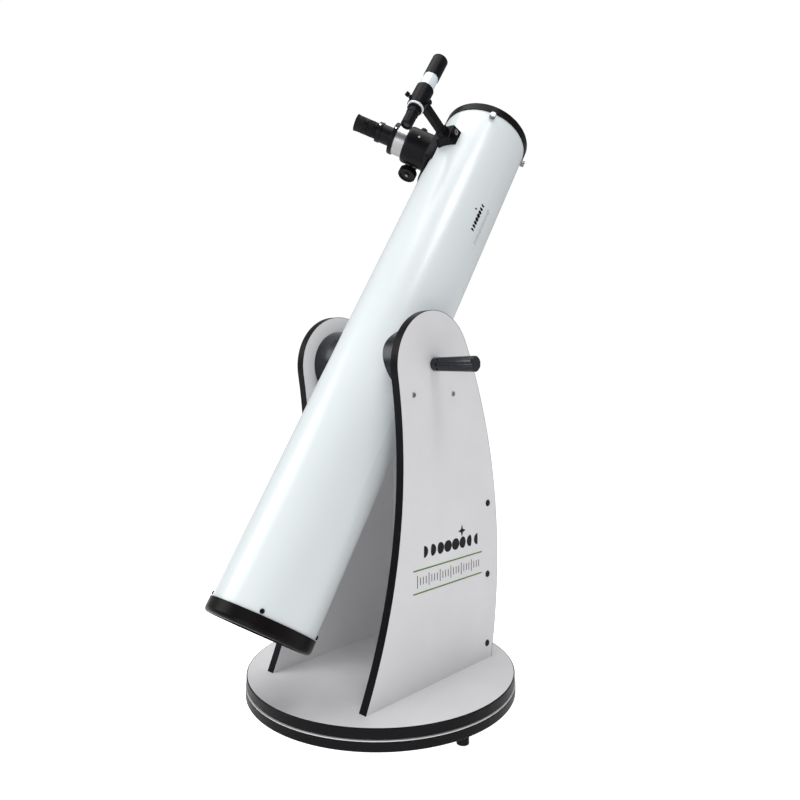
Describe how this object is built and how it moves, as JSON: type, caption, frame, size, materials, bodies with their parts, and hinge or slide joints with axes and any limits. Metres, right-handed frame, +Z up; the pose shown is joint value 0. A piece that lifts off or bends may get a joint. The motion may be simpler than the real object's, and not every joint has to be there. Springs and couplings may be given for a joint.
{
  "type": "dobsonian telescope",
  "caption": "Reflector telescope: a long white tube with black end rings, side focuser and finder, swinging in a board rocker box that turns on a round base.",
  "frame": {"origin": "on the floor plane, centred on the circle of the three feet, on the azimuth axis", "axes": "+Z up along the azimuth axis, X parallel to the altitude axis (the axis runs between the side boards), +Y the side the tube points to and the front panel stands on"},
  "size_m": [0.5059, 0.7651, 1.2459],
  "materials": {
    "white_laminate": "smooth melamine laminate on board",
    "black_edging": "satin",
    "tube_paint": "gloss white",
    "black_plastic": "satin moulded",
    "black_metal": "satin black",
    "black_aluminium": "satin black, anodised",
    "black_rubber": "matt",
    "drawn_aluminium": "brushed",
    "plated_steel": "plated",
    "white_nylon": "smooth",
    "mirror_glass": "polished, coated front",
    "lens_glass": "polished"
  },
  "bodies": {
    "ground": {"ground_board": "white_laminate", "ground_edging": "black_edging", "glide_pads": "white_nylon", "feet": "black_rubber", "foot_screws": "plated_steel", "pivot_bolt": "plated_steel", "pivot_nut": "plated_steel"},
    "rocker": {"azimuth_board": "white_laminate", "azimuth_edging": "black_edging", "pivot_bush": "white_nylon", "side_board_right": "white_laminate", "side_board_left": "white_laminate", "side_edging_right": "black_edging", "side_edging_left": "black_edging", "front_panel": "white_laminate", "assembly_screws": "black_metal", "bearing_pads": "white_nylon", "bearing_pad_screws": "plated_steel"},
    "tube_assembly": {"main_tube": "tube_paint", "front_ring": "black_plastic", "rear_ring": "black_plastic", "tube_screws": "black_metal", "altitude_hub_right": "black_plastic", "altitude_hub_left": "black_plastic", "mirror_plate": "plated_steel", "primary_mirror": "mirror_glass", "mirror_clips": "black_plastic", "collimation_springs": "plated_steel", "mirror_lock_screws": "plated_steel", "spider": "black_metal", "spider_nuts": "plated_steel", "secondary_holder": "black_plastic", "secondary_mirror": "mirror_glass", "secondary_screws": "plated_steel", "focuser_base": "black_aluminium", "focuser_body": "black_aluminium", "finder_shoe": "black_plastic"},
    "handle_right": {"tension_handle_right": "black_plastic"},
    "handle_left": {"tension_handle_left": "black_plastic"},
    "knob_1": {"collimation_knob_1": "black_plastic"},
    "knob_2": {"collimation_knob_2": "black_plastic"},
    "knob_3": {"collimation_knob_3": "black_plastic"},
    "draw": {"drawtube": "drawn_aluminium", "eyepiece_adapter": "black_aluminium"},
    "pinion": {"focus_shaft": "plated_steel", "focus_knobs": "black_plastic"},
    "lock": {"focus_lock_screw": "black_plastic"},
    "adapter_screw": {"adapter_thumbscrew": "black_plastic"},
    "ocular": {"eyepiece": "black_plastic", "eyecup": "black_rubber", "eyepiece_lens": "lens_glass"},
    "ocular_screw": {"eyepiece_thumbscrew": "plated_steel"},
    "finder": {"finder_bracket": "black_plastic", "finder_tube": "tube_paint", "finder_dew_shield": "black_plastic", "finder_eyepiece": "black_plastic", "finder_plunger": "plated_steel"},
    "shoe_screw": {"shoe_thumbscrew": "black_plastic"},
    "aim_screw_1": {"finder_screw_1": "black_plastic"},
    "aim_screw_2": {"finder_screw_2": "black_plastic"}
  },
  "joints": [
    {"name": "azimuth_turn", "type": "hinge", "parent": "ground", "child": "rocker", "pos_m": [0, 0, 0.042], "axis": [0, 0, 1], "continuous": true},
    {"name": "altitude_turn", "type": "hinge", "parent": "rocker", "child": "tube_assembly", "pos_m": [0, 0, 0.629], "axis": [1, 0, 0], "range_deg": [-56.7, 33.3]},
    {"name": "handle_right_turn", "type": "hinge", "parent": "tube_assembly", "child": "handle_right", "pos_m": [0.15, 0, 0.629], "axis": [1, 0, 0], "range_deg": [0, 720]},
    {"name": "handle_left_turn", "type": "hinge", "parent": "tube_assembly", "child": "handle_left", "pos_m": [-0.15, 0, 0.629], "axis": [-1, 0, 0], "range_deg": [0, 720]},
    {"name": "knob_1_turn", "type": "hinge", "parent": "tube_assembly", "child": "knob_1", "pos_m": [0, -0.22985, 0.1698], "axis": [0, -0.549, -0.8358], "range_deg": [0, 720]},
    {"name": "knob_2_turn", "type": "hinge", "parent": "tube_assembly", "child": "knob_2", "pos_m": [-0.05196, -0.30508, 0.21921], "axis": [0, -0.549, -0.8358], "range_deg": [0, 720]},
    {"name": "knob_3_turn", "type": "hinge", "parent": "tube_assembly", "child": "knob_3", "pos_m": [0.05196, -0.30508, 0.21921], "axis": [0, -0.549, -0.8358], "range_deg": [0, 720]},
    {"name": "draw_slide", "type": "slide", "parent": "tube_assembly", "child": "draw", "axis": [-0.6884, -0.6063, 0.3982], "range_m": [-0.02, 0.025]},
    {"name": "focus_turn", "type": "hinge", "parent": "tube_assembly", "child": "pinion", "pos_m": [-0.11145, 0.21756, 1.07893], "axis": [0, 0.549, 0.8358], "range_deg": [-250, 200]},
    {"name": "lock_turn", "type": "hinge", "parent": "tube_assembly", "child": "lock", "pos_m": [-0.09857, 0.20828, 1.13528], "axis": [0, 0.549, 0.8358], "range_deg": [0, 720]},
    {"name": "adapter_screw_turn", "type": "hinge", "parent": "draw", "child": "adapter_screw", "pos_m": [-0.12218, 0.18419, 1.14392], "axis": [0, 0.549, 0.8358], "range_deg": [0, 720]},
    {"name": "eyepiece_slide", "type": "slide", "parent": "draw", "child": "ocular", "axis": [-0.6884, -0.6063, 0.3982], "range_m": [0, 0.035]},
    {"name": "eyepiece_screw_turn", "type": "hinge", "parent": "draw", "child": "ocular_screw", "pos_m": [-0.14545, 0.15601, 1.14568], "axis": [0, 0.549, 0.8358], "range_deg": [0, 720]},
    {"name": "finder_slide", "type": "slide", "parent": "tube_assembly", "child": "finder", "axis": [0, 0.549, 0.8358], "range_m": [0, 0.04]},
    {"name": "shoe_screw_turn", "type": "hinge", "parent": "tube_assembly", "child": "shoe_screw", "pos_m": [0.02547, 0.18418, 1.09846], "axis": [0.9986, 0.0437, -0.0287], "range_deg": [0, 720]},
    {"name": "aim_screw_1_turn", "type": "hinge", "parent": "finder", "child": "aim_screw_1", "pos_m": [0.00472, 0.0751, 1.14559], "axis": [-0.2924, -0.7993, 0.525], "range_deg": [0, 720]},
    {"name": "aim_screw_2_turn", "type": "hinge", "parent": "finder", "child": "aim_screw_2", "pos_m": [0.03006, 0.09485, 1.13262], "axis": [0.9744, 0.188, -0.1235], "range_deg": [0, 720]}
  ],
  "couplings": [
    {"joint": "focus_turn", "follows": "draw_slide", "rad_per_m": -169.49}
  ]
}
